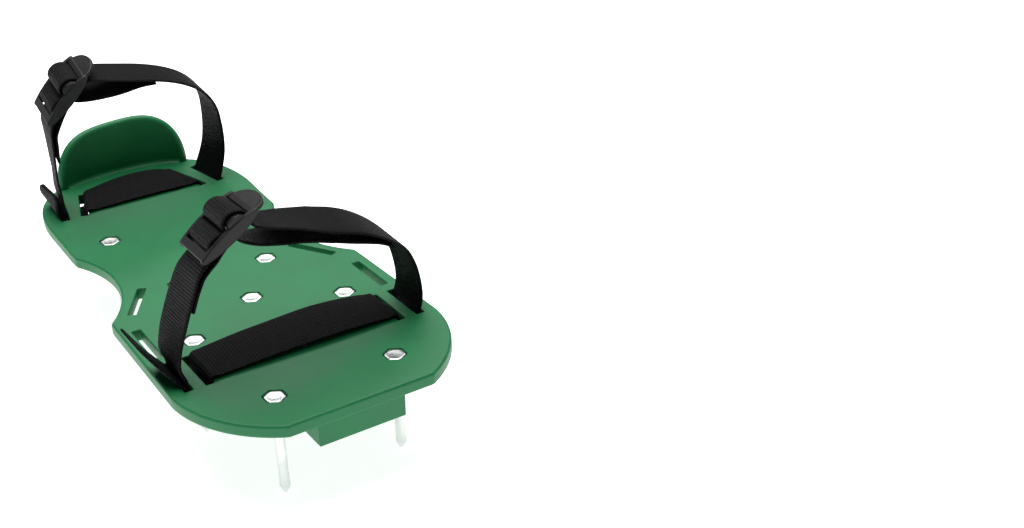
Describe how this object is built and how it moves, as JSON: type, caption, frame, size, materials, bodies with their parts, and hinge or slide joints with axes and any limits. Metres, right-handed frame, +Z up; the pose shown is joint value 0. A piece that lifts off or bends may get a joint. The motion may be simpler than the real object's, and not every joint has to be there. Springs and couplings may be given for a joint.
{
  "type": "lawn aerator sandal",
  "caption": "Strap-on green plastic sole with a heel cup, steel spikes held by nuts underneath, and two black webbing straps with ladder-lock buckles.",
  "frame": {"origin": "centre of the whole object's bounding box in plan, at the level of the spike tips on which it stands", "axes": "+Z up out of the foot bed; -Y towards the toe and +Y towards the heel cup; +X away from the side that carries the buckles"},
  "size_m": [0.139, 0.3, 0.131],
  "materials": {
    "green_plastic": "satin injection moulded sole with a fine grain",
    "zinc": "bright zinc plated steel",
    "webbing": "black ribbed polypropylene webbing",
    "buckle_plastic": "dark grey satin plastic"
  },
  "bodies": {
    "sole_body": {"sole": "green_plastic", "spike_1": "zinc", "spike_2": "zinc", "spike_3": "zinc", "spike_4": "zinc", "spike_5": "zinc", "spike_6": "zinc", "spike_7": "zinc", "spike_8": "zinc", "spike_9": "zinc", "spike_10": "zinc", "spike_11": "zinc", "spike_12": "zinc", "spike_13": "zinc", "nut_1": "zinc", "nut_2": "zinc", "nut_3": "zinc", "nut_4": "zinc", "nut_5": "zinc", "nut_6": "zinc", "nut_7": "zinc", "nut_8": "zinc", "nut_9": "zinc", "nut_10": "zinc", "nut_11": "zinc", "nut_12": "zinc", "nut_13": "zinc", "front_foot_band": "webbing", "front_under_band": "webbing", "heel_foot_band": "webbing", "heel_under_band": "webbing"},
    "front_strap": {"front_leg": "webbing", "front_crown": "webbing", "front_tail": "webbing"},
    "front_lock": {"front_buckle": "buckle_plastic", "front_hump": "webbing"},
    "front_strap_end": {"front_flap": "webbing"},
    "heel_strap": {"heel_leg": "webbing", "heel_crown": "webbing", "heel_tail": "webbing"},
    "heel_lock": {"heel_buckle": "buckle_plastic", "heel_hump": "webbing"},
    "heel_strap_end": {"heel_flap": "webbing"}
  },
  "joints": [
    {"name": "front_strap_swing", "type": "hinge", "parent": "sole_body", "child": "front_strap", "pos_m": [0.0033, -0.0863, 0.0645], "axis": [1, 0, 0], "range_deg": [-25, 25]},
    {"name": "front_buckle_lift", "type": "hinge", "parent": "front_strap", "child": "front_lock", "pos_m": [-0.0303, -0.0863, 0.11203], "axis": [-0.0645, -0.9919, 0.1091], "range_deg": [0, 9]},
    {"name": "front_end_fold", "type": "hinge", "parent": "sole_body", "child": "front_strap_end", "pos_m": [-0.0551, -0.0863, 0.0514], "axis": [0, -1, 0], "range_deg": [-10, 25]},
    {"name": "heel_strap_swing", "type": "hinge", "parent": "sole_body", "child": "heel_strap", "pos_m": [0.0033, 0.1125, 0.0645], "axis": [1, 0, 0], "range_deg": [-15, 15]},
    {"name": "heel_buckle_lift", "type": "hinge", "parent": "heel_strap", "child": "heel_lock", "pos_m": [-0.03176, 0.1125, 0.11358], "axis": [-0.0993, -0.9928, -0.0675], "range_deg": [0, 9]},
    {"name": "heel_end_fold", "type": "hinge", "parent": "sole_body", "child": "heel_strap_end", "pos_m": [-0.03965, 0.1125, 0.0514], "axis": [0, -1, 0], "range_deg": [-2, 10]}
  ]
}
